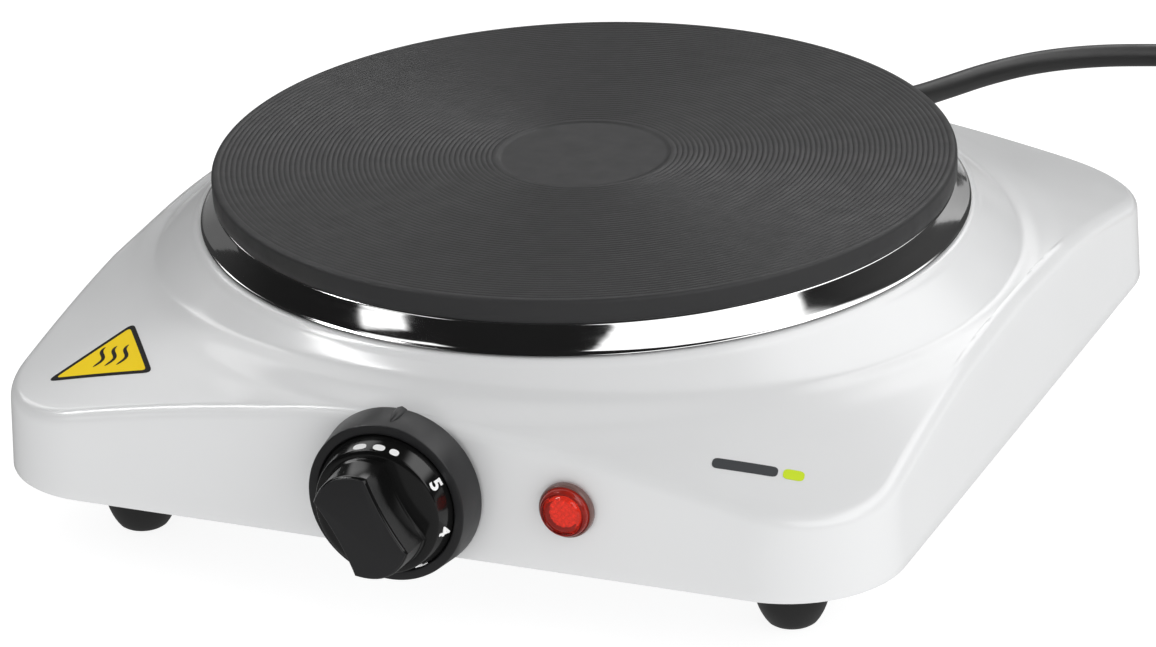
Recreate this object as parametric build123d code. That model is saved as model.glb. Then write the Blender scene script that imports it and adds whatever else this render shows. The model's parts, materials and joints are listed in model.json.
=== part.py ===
from build123d import *
import math
import os

# Single hot plate burner, millimetres.
# Drawn about the plate's axis (x = 0, y = 0), the knob towards -Y and the lead towards +Y. Every piece is
# then moved up by the height of the floor, and along Y, so that the origin lies on the floor under the
# middle of the object's box.

# ---- driving dimensions ----
BODY_W = 230.0          # square plan of the housing at its bottom edge
CORNER_R = 28.0
BODY_Z = 9.0            # bottom edge of the housing
FLOOR_Z = -10.5         # surface that the feet stand on
SHEET = 1.0             # housing sheet
DRAFT = 2.0             # degrees that the walls lean in
EDGE_R = 3.0            # rounding between the walls and the top
PLATE_R = 92.5
PLATE_TOP = 65.7
RIM_H = 6.0             # cast rim that shows above the trim ring
HUB_R = 22.0            # recess in the middle of the plate
GROOVE_PITCH = 2.0
GROOVE_DEPTH = 0.35
CROWN_R = 105.5         # crease between the raised crown and the sloping top
CROWN_Z = 44.5
OPENING_R = 96.0        # inner edge of the crown
SHELF_Z = 52.6          # flat shelf round the opening, which carries the trim ring
SHELF_R = 92.0
TOP_SLOPE = 0.338       # fall of the top outside the crown
KNOB_R = 19.8           # front rim of the skirt
SKIRT_BACK_R = 20.8
KNOB_Z = 25.5
KNOB_GAP_Y = -115.4     # back of the knob
SKIRT_D = 8.9           # depth of the outer skirt
DRUM_R = 15.7           # round drum that stands ahead of the skirt
DRUM_D = 4.9
GRIP_D = 9.8            # grip bar ahead of the drum's edge
GRIP_HALF_W = 7.8
GRIP_HALF_L = 13.2
GRIP_TURN = 29.0        # degrees that the grip bar leans from upright
LAMP_X = 42.2
LAMP_Z = 26.0
LAMP_R = 6.8
LAMP_D = 3.9
FOOT_X = 85.5
FOOT_Y = 84.0
FOOT_R = 9.8
FOOT_BORE_R = 3.6
CORD_D = 6.5
CORD_Z = 18.0           # height of the lead where it leaves the back wall

HALF = BODY_W / 2
RIM_Y = KNOB_GAP_Y - SKIRT_D            # front rim of the skirt
DRUM_Y = RIM_Y - DRUM_D                 # front edge of the drum
KNOB_FRONT_Y = DRUM_Y - GRIP_D
AXIS_Y = -(HALF + KNOB_FRONT_Y) / 2     # puts the box's middle on the origin
BASE_T = 0.8
BASE_Z = BODY_Z + 0.6   # underside of the bottom cover
BASE_TOP = BASE_Z + BASE_T
LEAN = math.tan(math.radians(DRAFT))
TAB_X = HALF - 13.5     # screws of the bottom cover
TAB_Y = 62.0

parts = {}


def at(x=0.0, y=0.0, z=0.0):
    return Pos(x, y, z)


def wall_y(z):
    """Outer face of the front wall at height z."""
    return -(HALF - LEAN * (z - BODY_Z))


def rod(radius, length, x=0.0, y=0.0, z=0.0):
    """Upright cylinder that starts at z and goes up."""
    return at(x, y, z + length / 2) * Cylinder(radius, length)


def rod_y(radius, y0, y1, x=0.0, z=0.0):
    """Cylinder along Y from y0 to y1."""
    return at(x, (y0 + y1) / 2, z) * Rot(90, 0, 0) * Cylinder(radius, abs(y1 - y0))


def block(x0, x1, y0, y1, z0, z1):
    return at((x0 + x1) / 2, (y0 + y1) / 2, (z0 + z1) / 2) * Box(x1 - x0, y1 - y0, z1 - z0)


def turned(points):
    """Solid of revolution about the plate's axis from (radius, height) points."""
    face = make_face(Plane.XZ * Polyline(*points, close=True))
    return revolve(face, Axis.Z)


def turned_y(points, x, z):
    """Solid of revolution about an axis along Y through (x, z), from (radius, y) points."""
    face = make_face(Polyline(*points, close=True))
    return at(x, 0, z) * revolve(face, Axis.Y)


def hexagon(across, height, x, y, z):
    face = RegularPolygon(across / 2, 6, major_radius=False)
    return at(x, y, z) * extrude(face, height)


def tube(points, diameter, radii):
    """Round tube on straight runs joined by tangent arcs."""
    path = FilletPolyline(*points, radius=radii)
    start = Plane(origin=path @ 0, z_dir=path % 0)
    return sweep(start * Circle(diameter / 2), path=path)


def route_radii(points):
    """Largest even arc at each corner: 0.45 of the shorter run over the tangent of half the turn."""
    vectors = [Vector(*b) - Vector(*a) for a, b in zip(points, points[1:])]
    radii = []
    for before, after in zip(vectors, vectors[1:]):
        turn = before.get_angle(after)
        shorter = min(before.length, after.length)
        radii.append(0.45 * shorter / math.tan(math.radians(turn / 2)))
    return radii


def compound(solids):
    return Compound(list(solids))


# ---- housing ----
def body_form(inset, bottom):
    """Outer form of the housing, or its inside when inset is the sheet's thickness."""
    plan = RectangleRounded(BODY_W - 2 * inset, BODY_W - 2 * inset, CORNER_R - inset)
    walls = at(0, 0, bottom) * extrude(plan, 60, taper=DRAFT)
    far_r = 175.0
    drop = inset * 1.05
    dome = turned([
        (0, bottom),
        (far_r, bottom),
        (far_r, CROWN_Z - drop - TOP_SLOPE * (far_r - CROWN_R)),
        (CROWN_R - inset * 0.5, CROWN_Z - drop),
        (OPENING_R - inset * 0.6, SHELF_Z - inset),
        (0, SHELF_Z - inset),
    ])
    return walls & dome


def edge_ring(solid, z_low):
    """Edges where the walls meet the sloping top."""
    picked = []
    for edge in solid.edges():
        box = edge.bounding_box()
        reach = max(abs(box.min.X), abs(box.max.X), abs(box.min.Y), abs(box.max.Y))
        if box.min.Z > z_low and reach > CROWN_R + 2 and box.max.Z < CROWN_Z:
            picked.append(edge)
    return picked


def housing():
    outer = body_form(0, BODY_Z)
    outer = fillet(edge_ring(outer, BODY_Z + 5), EDGE_R)
    inner = body_form(SHEET, BODY_Z - 1)
    inner = fillet(edge_ring(inner, BODY_Z + 5), EDGE_R - SHEET)
    shell = outer - inner
    shell -= rod(SHELF_R, 30, z=40)
    holes = [rod_y(5.0, -120, -105, 0, KNOB_Z), rod_y(5.6, -120, -105, LAMP_X, LAMP_Z)]
    holes += [rod_y(2.2, -120, -105, s * 14, KNOB_Z) for s in (-1, 1)]
    holes.append(rod_y(6.3, 105, 120, 0, CORD_Z))
    for hole in holes:
        shell -= hole
    return shell


parts["housing"] = housing()


# ---- bottom cover and its fasteners ----
def base_plate():
    plan = RectangleRounded(BODY_W - 3, BODY_W - 3, CORNER_R - 1.5)
    plate = at(0, 0, BASE_Z) * extrude(plan, BASE_T)
    for i in range(7):
        for s in (-1, 1):
            slot = at(s * 42, (i - 3) * 11.0, BASE_Z - 1) * extrude(SlotOverall(46, 4), 3)
            plate -= slot
    for sx in (-1, 1):
        for sy in (-1, 1):
            plate -= rod(2.2, 3, sx * FOOT_X, sy * FOOT_Y, BASE_Z - 1)
            plate -= rod(2.0, 3, sx * TAB_X, sy * TAB_Y, BASE_Z - 1)
    plate -= rod(1.7, 3, 24, 84, BASE_Z - 1)
    plate -= rod(1.7, 3, -9.5, 104, BASE_Z - 1)
    return plate


def mounting_tab(sx, sy):
    """Angle bracket spot-welded to a side wall, which takes a screw of the bottom cover."""
    x_wall = HALF - SHEET - LEAN * 4 - 1.6
    flat = block(x_wall - 18, x_wall, -8, 8, BASE_TOP, BASE_TOP + 1.2)
    upright = block(x_wall - 1.2, x_wall, -8, 8, BASE_TOP, BASE_TOP + 13)
    tab = flat + upright
    tab -= rod(1.6, 4, TAB_X, 0, BASE_TOP - 1)
    if sx < 0:
        tab = mirror(tab, Plane.YZ)
    return at(0, sy * TAB_Y, 0) * tab


def pan_screw_up(x, y, z, head_r, head_h, shank_r, length):
    """Screw driven upwards: the head lies under z."""
    head = rod(head_r, head_h, x, y, z - head_h)
    head = fillet(head.faces().sort_by(Axis.Z)[0].edges(), head_h * 0.45)
    slot = block(x - head_r * 0.6, x + head_r * 0.6, y - 0.5, y + 0.5, z - head_h - 1, z - head_h + 0.9)
    cross = block(x - 0.5, x + 0.5, y - head_r * 0.6, y + head_r * 0.6, z - head_h - 1, z - head_h + 0.9)
    return head + rod(shank_r, length, x, y, z) - slot - cross


CORNERS = [(sx, sy) for sx in (-1, 1) for sy in (-1, 1)]
parts["base_plate"] = base_plate()
parts["mounting_tabs"] = compound(mounting_tab(sx, sy) for sx, sy in CORNERS)
parts["base_screws"] = compound(
    pan_screw_up(sx * TAB_X, sy * TAB_Y, BASE_Z, 3.4, 2.0, 1.5, 8) for sx, sy in CORNERS
)


# ---- feet ----
FOOT_SEAT_Z = 3.4       # head of the screw seats here
FOOT_DOME = ((4.8, 0), (5.7, 0.4), (6.7, 1.6), (7.7, 3.4), (8.5, 5.6), (9.2, 8.4), (9.6, 12.0))


def foot(x, y):
    """Domed rubber foot with a recess for its screw."""
    outline = [(2.3, FOOT_SEAT_Z), (FOOT_BORE_R, FOOT_SEAT_Z), (FOOT_BORE_R, FLOOR_Z)]
    outline += [(radius, FLOOR_Z + rise) for radius, rise in FOOT_DOME]
    outline += [(FOOT_R, BASE_Z), (2.3, BASE_Z)]
    return at(x, y, 0) * turned(outline)


FEET = {
    "foot_front_left": (-1, -1),
    "foot_front_right": (1, -1),
    "foot_rear_left": (-1, 1),
    "foot_rear_right": (1, 1),
}
for name, (sx, sy) in FEET.items():
    parts[name] = foot(sx * FOOT_X, sy * FOOT_Y)
parts["foot_screws"] = compound(
    pan_screw_up(sx * FOOT_X, sy * FOOT_Y, FOOT_SEAT_Z, 3.3, 2.2, 2.0, 12) for sx, sy in CORNERS
)
parts["foot_nuts"] = compound(
    hexagon(7, 3.2, sx * FOOT_X, sy * FOOT_Y, BASE_TOP) - rod(2.05, 5, sx * FOOT_X, sy * FOOT_Y, BASE_TOP - 1)
    for sx, sy in CORNERS
)

# ---- hotplate ----
RIM_Z = PLATE_TOP - RIM_H
SKIRT_BOTTOM = 50.0
SKIRT_R = 89.5
CAVITY_TOP = 57.7
CAVITY_R0 = 28.0
CAVITY_R1 = 84.0
STUD_R = 3.0


def hotplate():
    """Cast-iron disc: turned grooves on top, a channel for the heating coil underneath."""
    top = [(0, PLATE_TOP - 0.8), (HUB_R - 0.6, PLATE_TOP - 0.8), (HUB_R, PLATE_TOP)]
    radius = HUB_R + 1.0
    while radius + GROOVE_PITCH < PLATE_R - 2.0:
        top += [
            (radius, PLATE_TOP),
            (radius + GROOVE_PITCH / 2, PLATE_TOP - GROOVE_DEPTH),
            (radius + GROOVE_PITCH * 0.95, PLATE_TOP),
        ]
        radius += GROOVE_PITCH
    rim = [
        (PLATE_R - 1.4, PLATE_TOP), (PLATE_R - 0.4, PLATE_TOP - 0.4), (PLATE_R, PLATE_TOP - 1.4),
        (PLATE_R, RIM_Z), (SKIRT_R, RIM_Z), (SKIRT_R, SKIRT_BOTTOM), (CAVITY_R1, SKIRT_BOTTOM),
        (CAVITY_R1, CAVITY_TOP), (CAVITY_R0, CAVITY_TOP), (CAVITY_R0 - 4, SKIRT_BOTTOM + 2),
        (11, SKIRT_BOTTOM + 2), (11, SKIRT_BOTTOM), (0, SKIRT_BOTTOM),
    ]
    return turned(top + rim) - rod(STUD_R + 0.05, 9, z=SKIRT_BOTTOM - 0.5)


def coil_turn(radius, grow=0.0):
    """One circuit of the heating coil, as a tube of its outside diameter with a gap for its ends."""
    arc = CenterArc((0, 0, 54.2), radius, 12, 336)
    start = Plane(origin=arc @ 0, z_dir=arc % 0)
    return sweep(start * Circle(2.4 + grow), path=arc)


COIL_RADII = (38.0, 52.0, 66.0, 78.0)
parts["hotplate"] = hotplate()
parts["heating_coil"] = compound(coil_turn(r) for r in COIL_RADII)
cement = turned([
    (CAVITY_R0 + 0.2, SKIRT_BOTTOM + 0.1), (CAVITY_R1 - 0.1, SKIRT_BOTTOM + 0.1),
    (CAVITY_R1 - 0.1, CAVITY_TOP - 0.1), (CAVITY_R0 + 0.2, CAVITY_TOP - 0.1),
])
for coil_radius in COIL_RADII:
    cement -= coil_turn(coil_radius, 0.15)
parts["element_cement"] = cement
COVER_Z = SKIRT_BOTTOM - 0.8
parts["element_cover"] = turned([(4, COVER_Z), (87.5, COVER_Z), (87.5, SKIRT_BOTTOM), (4, SKIRT_BOTTOM)])
parts["element_cover"] -= block(24, 40, -34, -26, COVER_Z - 1, SKIRT_BOTTOM + 1)

# ---- trim ring ----
parts["trim_ring"] = turned([
    (90.2, RIM_Z), (92.0, RIM_Z), (92.6, 58.6), (93.4, 56.4), (94.6, 54.4), (95.8, 53.2), (95.8, SHELF_Z),
    (94.9, SHELF_Z), (94.0, 54.0), (92.8, 56.0), (92.0, 58.2), (91.6, 59.1), (90.2, 59.1),
])

# ---- clamping of the plate ----
BRIDGE_T = 1.5
END_Z = SHELF_Z - SHEET          # underside of the shelf
BRIDGE_Z = COVER_Z - BRIDGE_T
END_X = 94.0
STEP_X = 91.6


def bridge():
    """Steel strap whose ends bear up against the shelf while the stud pulls it towards the plate."""
    outline = Polyline(
        (-END_X, END_Z), (-END_X, END_Z - BRIDGE_T), (-STEP_X, END_Z - BRIDGE_T), (-STEP_X, BRIDGE_Z),
        (STEP_X, BRIDGE_Z), (STEP_X, END_Z - BRIDGE_T), (END_X, END_Z - BRIDGE_T), (END_X, END_Z),
        (STEP_X - BRIDGE_T, END_Z), (STEP_X - BRIDGE_T, COVER_Z), (BRIDGE_T - STEP_X, COVER_Z),
        (BRIDGE_T - STEP_X, END_Z), close=True,
    )
    strap = extrude(make_face(Plane.XZ * outline), 12, both=True)
    return strap - rod(STUD_R + 0.3, 20, z=40)


parts["mounting_bridge"] = bridge()
parts["centre_stud"] = rod(STUD_R, 20, z=38)
parts["centre_washer"] = rod(7, 1.2, z=BRIDGE_Z - 1.2) - rod(STUD_R + 0.2, 10, z=42)
parts["centre_nut"] = hexagon(10, 5, 0, 0, BRIDGE_Z - 6.2) - rod(STUD_R + 0.05, 12, z=38)

# ---- element terminals ----
TERMINAL_X = 32.0
TERMINAL_Y = -30.0
parts["element_terminals"] = block(20, 44, -36, -24, COVER_Z - 7, COVER_Z)
parts["element_tabs"] = compound(
    block(TERMINAL_X + s * 6 - 3, TERMINAL_X + s * 6 + 3, TERMINAL_Y - 0.4, TERMINAL_Y + 0.4, 34, COVER_Z - 7)
    for s in (-1, 1)
)

# ---- thermostat ----
BRACKET_Y = -112.2
BASE_Y0 = BRACKET_Y + 1.0        # front of the ceramic base
BASE_Y1 = -92.0
parts["thermostat_bracket"] = (
    block(-20, 20, BRACKET_Y, BASE_Y0, 14, 37)
    - rod_y(4.2, -120, -100, 0, KNOB_Z)
    - rod_y(1.65, -120, -100, 14, KNOB_Z)
    - rod_y(1.65, -120, -100, -14, KNOB_Z)
)
thermostat = block(-11, 11, BASE_Y0, BASE_Y1, 13, 38)
thermostat += block(-11, 11, BASE_Y1, -78, 35.5, 38)
thermostat -= rod_y(3.05, -120, -80, 0, KNOB_Z)
parts["thermostat_base"] = thermostat


def wall_screw(x):
    """Screw through the front wall, head outside and under the knob."""
    head_y = wall_y(KNOB_Z - 3) - 0.05
    head = rod_y(3.0, head_y - 1.0, head_y, x, KNOB_Z)
    shank = rod_y(1.6, head_y, -106, x, KNOB_Z)
    slot = block(x - 2, x + 2, head_y - 2, head_y - 0.5, KNOB_Z - 0.4, KNOB_Z + 0.4)
    return head + shank - slot


parts["thermostat_screws"] = compound(wall_screw(s * 14) for s in (-1, 1))
parts["contact_leaf"] = block(-9, 9, -90, -85, 34.1, 34.5) + block(-9, -6, -90, -85, 34.1, 35.5)
parts["contacts"] = compound([rod(1.3, 0.4, 7, -87.5, 34.5), rod(1.3, 0.5, 7, -87.5, 35.0)])
parts["thermostat_tabs"] = compound(
    block(s * 6 - 3, s * 6 + 3, -89.5, -88.7, 38, 44) for s in (-1, 1)
)

# ---- parts that turn with the knob ----
SPINDLE_END = -84.0
SPINDLE_TIP = DRUM_Y + 2.0
DIAL_R = 17.3           # foot of the drum's sloping side, at the skirt's rim


def grip_outline():
    """Bar with hollowed sides and rounded ends."""
    w, l = GRIP_HALF_W, GRIP_HALF_L - 3.2
    outline = [
        ThreePointArc((w, -l), (w - 0.6, 0), (w, l)),
        ThreePointArc((w, l), (0, GRIP_HALF_L), (-w, l)),
        ThreePointArc((-w, l), (0.6 - w, 0), (-w, -l)),
        ThreePointArc((-w, -l), (0, -GRIP_HALF_L), (w, -l)),
    ]
    return make_face(Wire(outline))


def dial_cone(grow, y_front, y_back):
    """Cone on the drum's sloping side, grown outwards, between two planes."""
    slope = (DIAL_R - DRUM_R) / DRUM_D
    r_front = DRUM_R + slope * (y_front - DRUM_Y) + grow
    r_back = DRUM_R + slope * (y_back - DRUM_Y) + grow
    return turned_y([(0, y_front), (r_front, y_front), (r_back, y_back), (0, y_back)], 0, KNOB_Z)


def knob():
    """Outer skirt, a drum with a sloping dial side, and a raised grip bar."""
    shell = turned_y([
        (0, KNOB_GAP_Y - 4), (17.0, KNOB_GAP_Y - 4), (17.4, KNOB_GAP_Y), (SKIRT_BACK_R, KNOB_GAP_Y),
        (KNOB_R, RIM_Y + 0.5), (KNOB_R - 0.5, RIM_Y), (DIAL_R, RIM_Y), (DRUM_R, DRUM_Y),
        (DRUM_R - 0.5, DRUM_Y - 0.4), (0, DRUM_Y - 1.2),
    ], 0, KNOB_Z)
    bar = extrude(grip_outline(), GRIP_D + 1.0, taper=3)
    grip = at(0, DRUM_Y + 1.0, KNOB_Z) * Rot(0, -GRIP_TURN, 0) * Rot(90, 0, 0) * bar
    inner = rod_y(6.0, KNOB_GAP_Y - 5, KNOB_GAP_Y - 0.5, 0, KNOB_Z)
    rib = block(-1.3, 1.3, RIM_Y + 2.6, KNOB_GAP_Y - 0.4, KNOB_Z + KNOB_R - 1, KNOB_Z + SKIRT_BACK_R + 0.6)
    whole = shell + grip + inner + rib
    bore = rod_y(STUD_R + 0.1, SPINDLE_TIP - 1, KNOB_GAP_Y + 1, 0, KNOB_Z)
    flat = block(-4, 4, SPINDLE_TIP - 2, KNOB_GAP_Y + 2, KNOB_Z + 2.1, KNOB_Z + 4)
    return whole - (bore - flat)


def spindle():
    """D-shaped shaft from the thermostat into the knob."""
    shaft = rod_y(STUD_R, SPINDLE_TIP, SPINDLE_END, 0, KNOB_Z)
    return shaft - block(-4, 4, SPINDLE_TIP - 2, KNOB_GAP_Y + 1, KNOB_Z + 2.0, KNOB_Z + 4)


def dial_mark(angle, length, y0, y1):
    """Mark printed on the drum's side; angle is clockwise from the top, seen from the front."""
    film = dial_cone(0.1, y0, y1) - dial_cone(0, y0 - 1, y1 + 1)
    window = block(-length / 2, length / 2, y0 - 1, y1 + 1, 0, KNOB_R)
    return film & (at(0, 0, KNOB_Z) * Rot(0, angle, 0) * window)


OVALS = ((-14.5, 3.5), (3.4, 3.0), (17.3, 2.3))
NUMBER_ANGLES = (61, 103, 145, 187, 229, 271)
parts["knob"] = knob()
parts["knob_dial"] = compound(
    [dial_mark(angle, length, DRUM_Y + 0.3, DRUM_Y + 2.1) for angle, length in OVALS]
    + [dial_mark(angle, 2.4, DRUM_Y + 0.9, DRUM_Y + 3.6) for angle in NUMBER_ANGLES]
)
parts["knob_spring"] = block(-1.6, 1.6, DRUM_Y + 4.5, KNOB_GAP_Y - 1, KNOB_Z + 2.01, KNOB_Z + 2.09)
parts["thermostat_spindle"] = spindle()
cam = rod_y(6.0, -90, -85, 0, KNOB_Z) + rod_y(4.5, -90, -85, 3.2, KNOB_Z)
parts["thermostat_cam"] = cam - rod_y(STUD_R + 0.02, -95, -80, 0, KNOB_Z)

# ---- pilot lamp ----
LENS_Y = wall_y(LAMP_Z - LAMP_R) - 0.05
parts["lamp_lens"] = turned_y([
    (0, LENS_Y), (LAMP_R, LENS_Y), (LAMP_R - 0.3, LENS_Y - 2.6), (LAMP_R - 0.9, LENS_Y - 3.3),
    (4.3, LENS_Y - LAMP_D), (0, LENS_Y - LAMP_D),
], LAMP_X, LAMP_Z)
parts["lamp_body"] = turned_y([
    (2.6, LENS_Y), (5.3, LENS_Y), (5.3, LENS_Y + 20), (2.6, LENS_Y + 20),
], LAMP_X, LAMP_Z)
parts["lamp_nut"] = turned_y([
    (5.4, -112.2), (9.0, -112.2), (9.0, -111.2), (5.4, -111.2),
], LAMP_X, LAMP_Z)
parts["lamp_bulb"] = turned_y([
    (0, LENS_Y + 0.5), (1.4, LENS_Y + 0.9), (2.2, LENS_Y + 2.2), (2.2, LENS_Y + 16), (0, LENS_Y + 16),
], LAMP_X, LAMP_Z)

# ---- mains entry ----
SHEATH_END = 98.0
BOOT_END = HALF + 28.0
parts["strain_relief"] = turned_y([
    (3.3, HALF - 5), (6.1, HALF - 5), (6.1, HALF + 0.1), (8.2, HALF + 0.1), (8.2, HALF + 2.6),
    (6.4, HALF + 3.4), (4.5, BOOT_END), (3.3, BOOT_END),
], 0, CORD_Z)
parts["cord_sheath_end"] = rod_y(CORD_D / 2, SHEATH_END, BOOT_END, 0, CORD_Z)
clamp = block(-13, 8, 100, 108, BASE_TOP, 24) - rod_y(CORD_D / 2 + 0.05, 90, 115, 0, CORD_Z)
parts["cord_clamp"] = clamp - block(-14, -6, 99, 109, 15, 25) - rod(1.65, 6, -9.5, 104, BASE_TOP - 1)
parts["clamp_screw"] = pan_screw_up(-9.5, 104, BASE_Z, 2.8, 1.6, 1.5, 6)

BLOCK_Y0 = 76.0
BLOCK_Y1 = 90.0
terminal = block(-15, 15, BLOCK_Y0, BLOCK_Y1, BASE_TOP, 24)
for x in (-9, 0, 9):
    terminal -= rod_y(2.0, BLOCK_Y0 - 1, BLOCK_Y1 + 1, x, CORD_Z)
    terminal -= rod(1.9, 8, x, 83, CORD_Z)
parts["terminal_block"] = terminal
parts["terminal_screws"] = compound(rod(1.8, 3.0, x, 83, 20.5) for x in (-9, 0, 9))
parts["earth_screw"] = pan_screw_up(24, 84, BASE_Z, 2.8, 1.6, 1.5, 9)

# ---- internal wiring, each lead on one route with easy bends ----
WIRE_D = 2.2


def wire(points):
    return tube(points, WIRE_D, [r * 0.9 for r in route_radii(points)])


def core(x0, z0, x1):
    """Core of the lead, from the end of the sheath into its terminal."""
    return wire([
        (x0, SHEATH_END, z0), (x0, 96, z0), (0.8 * x1 + 0.2 * x0, 92.6, CORD_Z), (x1, 88.5, CORD_Z + 0.1),
        (x1, 85, CORD_Z),
    ])


parts["cord_cores"] = compound([core(-1.3, 17.2, -9), core(0, 19.5, 0.4), core(1.3, 17.2, 9)])
parts["live_lead"] = wire([
    (-9, 80, CORD_Z), (-9, 64, CORD_Z), (-24, 42, 20), (-34, 4, 26), (-30, -40, 32), (-14, -68, 40),
    (-7, -80, 46), (-6, -89.1, 47.4), (-6, -89.1, 44),
])
parts["neutral_lead"] = wire([
    (0, 80, CORD_Z), (0, 62, CORD_Z), (14, 40, 20), (34, 14, 23), (38, -10, 24), (38, -24, 24.5),
    (38, -30, 28), (38, -30, 34),
])
parts["switched_lead"] = wire([
    (26, -30, 34), (26, -30, 28), (25, -37, 24.5), (20, -54, 28), (12, -70, 38), (7, -80, 45.5),
    (6, -89.1, 47.4), (6, -89.1, 44),
])
parts["lamp_leads"] = compound([
    wire([
        (LAMP_X + s * 1.2, LENS_Y + 16, LAMP_Z), (LAMP_X + s * 1.2, -90, LAMP_Z), (46 + s * 3, -66, 22),
        (46 + s * 3, -50, 27), (41 + s * 3, -41, 36), (41 + s * 1.5, -37.6, 44),
    ])
    for s in (-1, 1)
])
parts["earth_lead"] = wire([
    (9, 80, CORD_Z), (9, 70, CORD_Z), (14, 62, 17), (21, 63, 16.5), (24, 72, 16), (24, 82.4, 16),
])

# ---- printed marks on the top ----
TOP_NORMAL = math.degrees(math.atan(TOP_SLOPE))


def on_top(x, y, sketch, turn, thick):
    """Thin film laid on the sloping top at (x, y)."""
    radius = math.hypot(x, y)
    z = CROWN_Z - TOP_SLOPE * (radius - CROWN_R)
    heading = math.degrees(math.atan2(y, x))
    place = at(x, y, z + 0.12) * Rot(0, 0, heading) * Rot(0, TOP_NORMAL, 0) * Rot(0, 0, turn - heading)
    return place * extrude(sketch, thick)


LABEL_R = 15.2          # corner circle of the three-sided label
label = fillet(RegularPolygon(LABEL_R, 3).vertices(), 2.0)
parts["caution_label"] = on_top(-86.3, -92.5, label, 93, 0.12)
parts["badge"] = on_top(84.3, -100.4, SlotOverall(22, 5), 11, 0.12)

# ---- mains lead ----
ROUTE = [
    (0, 143, 18), (0, 157, 18), (2.6, 172, 14.0), (7.0, 188, 8.6), (12.0, 205, 4.6), (16.5, 221, 2.4),
    (22.5, 238, 0.9), (32, 255, -0.6), (45, 269, -2.4), (60, 280, -4.4), (77, 290, -6.2), (97, 300, -7.25),
]
COIL_X = 122.0
COIL_Y = 268.0
COIL_R = 36.0
COIL_END = (COIL_X + COIL_R, COIL_Y, FLOOR_Z + 9.6)
PLUG_Y = 232.0
PLUG_Z = FLOOR_Z + 8.5
radii = route_radii(ROUTE)
print("lead radii", [round(r) for r in radii])
lead = tube(ROUTE, CORD_D, radii)
run = FilletPolyline(*ROUTE, radius=radii).length
print("lead run", round(run, 1), "volume ratio", round(lead.volume / (run * math.pi * CORD_D**2 / 4), 4))
parts["power_cord"] = lead
coil_section = Plane.XZ * (at(COIL_R, FLOOR_Z + 6.8) * RectangleRounded(16, 13.6, 5))
parts["power_cord_coil"] = at(COIL_X, COIL_Y, 0) * revolve(coil_section, Axis.Z)
tail = Line(COIL_END, (COIL_END[0], PLUG_Y, PLUG_Z))
parts["power_cord_tail"] = sweep(Plane(origin=tail @ 0, z_dir=tail % 0) * Circle(CORD_D / 2), path=tail)


def plug():
    """Flat mains plug that lies on the floor, its pins towards -Y."""
    plan = Polyline(
        (-4.5, 0), (4.5, 0), (8, -9), (13, -16), (13, -38), (-13, -38), (-13, -16), (-8, -9), close=True,
    )
    body = extrude(make_face(plan), 17)
    body = fillet(body.edges().filter_by(Axis.Z), 2.0)
    body = fillet(body.edges().filter_by(GeomType.LINE), 1.6)
    return at(COIL_END[0], PLUG_Y, FLOOR_Z) * body


def pin(x, z):
    """Round contact pin with a rounded tip."""
    y = PLUG_Y - 38
    solid = rod_y(2.0, y, y - 19, COIL_END[0] + x, z)
    return fillet(solid.faces().sort_by(Axis.Y)[0].edges(), 1.2)


parts["plug_body"] = plug()
parts["plug_pins"] = compound([pin(-9.5, PLUG_Z), pin(9.5, PLUG_Z), pin(0, PLUG_Z + 3)])

# ---- write every piece in the object's frame ----
os.makedirs("parts", exist_ok=True)
for name, shape in parts.items():
    export_step(at(0, AXIS_Y, -FLOOR_Z) * shape, f"parts/{name}.step")
print(len(parts), "nodes, plate axis at y =", AXIS_Y)
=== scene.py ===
import json
import math

import bmesh
import bpy
import numpy as np
from mathutils import Matrix, Vector

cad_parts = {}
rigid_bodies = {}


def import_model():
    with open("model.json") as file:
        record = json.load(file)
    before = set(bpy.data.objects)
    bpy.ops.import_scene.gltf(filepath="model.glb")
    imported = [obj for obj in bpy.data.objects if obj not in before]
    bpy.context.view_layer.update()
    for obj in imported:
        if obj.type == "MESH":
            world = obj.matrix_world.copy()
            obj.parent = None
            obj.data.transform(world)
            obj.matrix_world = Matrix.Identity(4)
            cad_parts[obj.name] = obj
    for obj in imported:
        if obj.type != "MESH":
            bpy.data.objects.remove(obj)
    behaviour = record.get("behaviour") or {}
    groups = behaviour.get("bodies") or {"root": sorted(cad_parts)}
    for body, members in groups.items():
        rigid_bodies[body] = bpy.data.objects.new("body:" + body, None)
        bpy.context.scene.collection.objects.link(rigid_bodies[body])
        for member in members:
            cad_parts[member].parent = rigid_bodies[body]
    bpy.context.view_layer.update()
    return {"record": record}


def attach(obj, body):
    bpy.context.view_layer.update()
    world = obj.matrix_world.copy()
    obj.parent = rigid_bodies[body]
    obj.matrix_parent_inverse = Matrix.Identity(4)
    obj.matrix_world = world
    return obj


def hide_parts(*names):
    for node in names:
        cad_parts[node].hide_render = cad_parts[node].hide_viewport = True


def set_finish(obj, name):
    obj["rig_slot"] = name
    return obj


# Single hot plate burner. Shapes are worked out in millimetres about the plate's axis, as the CAD part
# is, and put() turns them into the row frame in metres.

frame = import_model()

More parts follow.
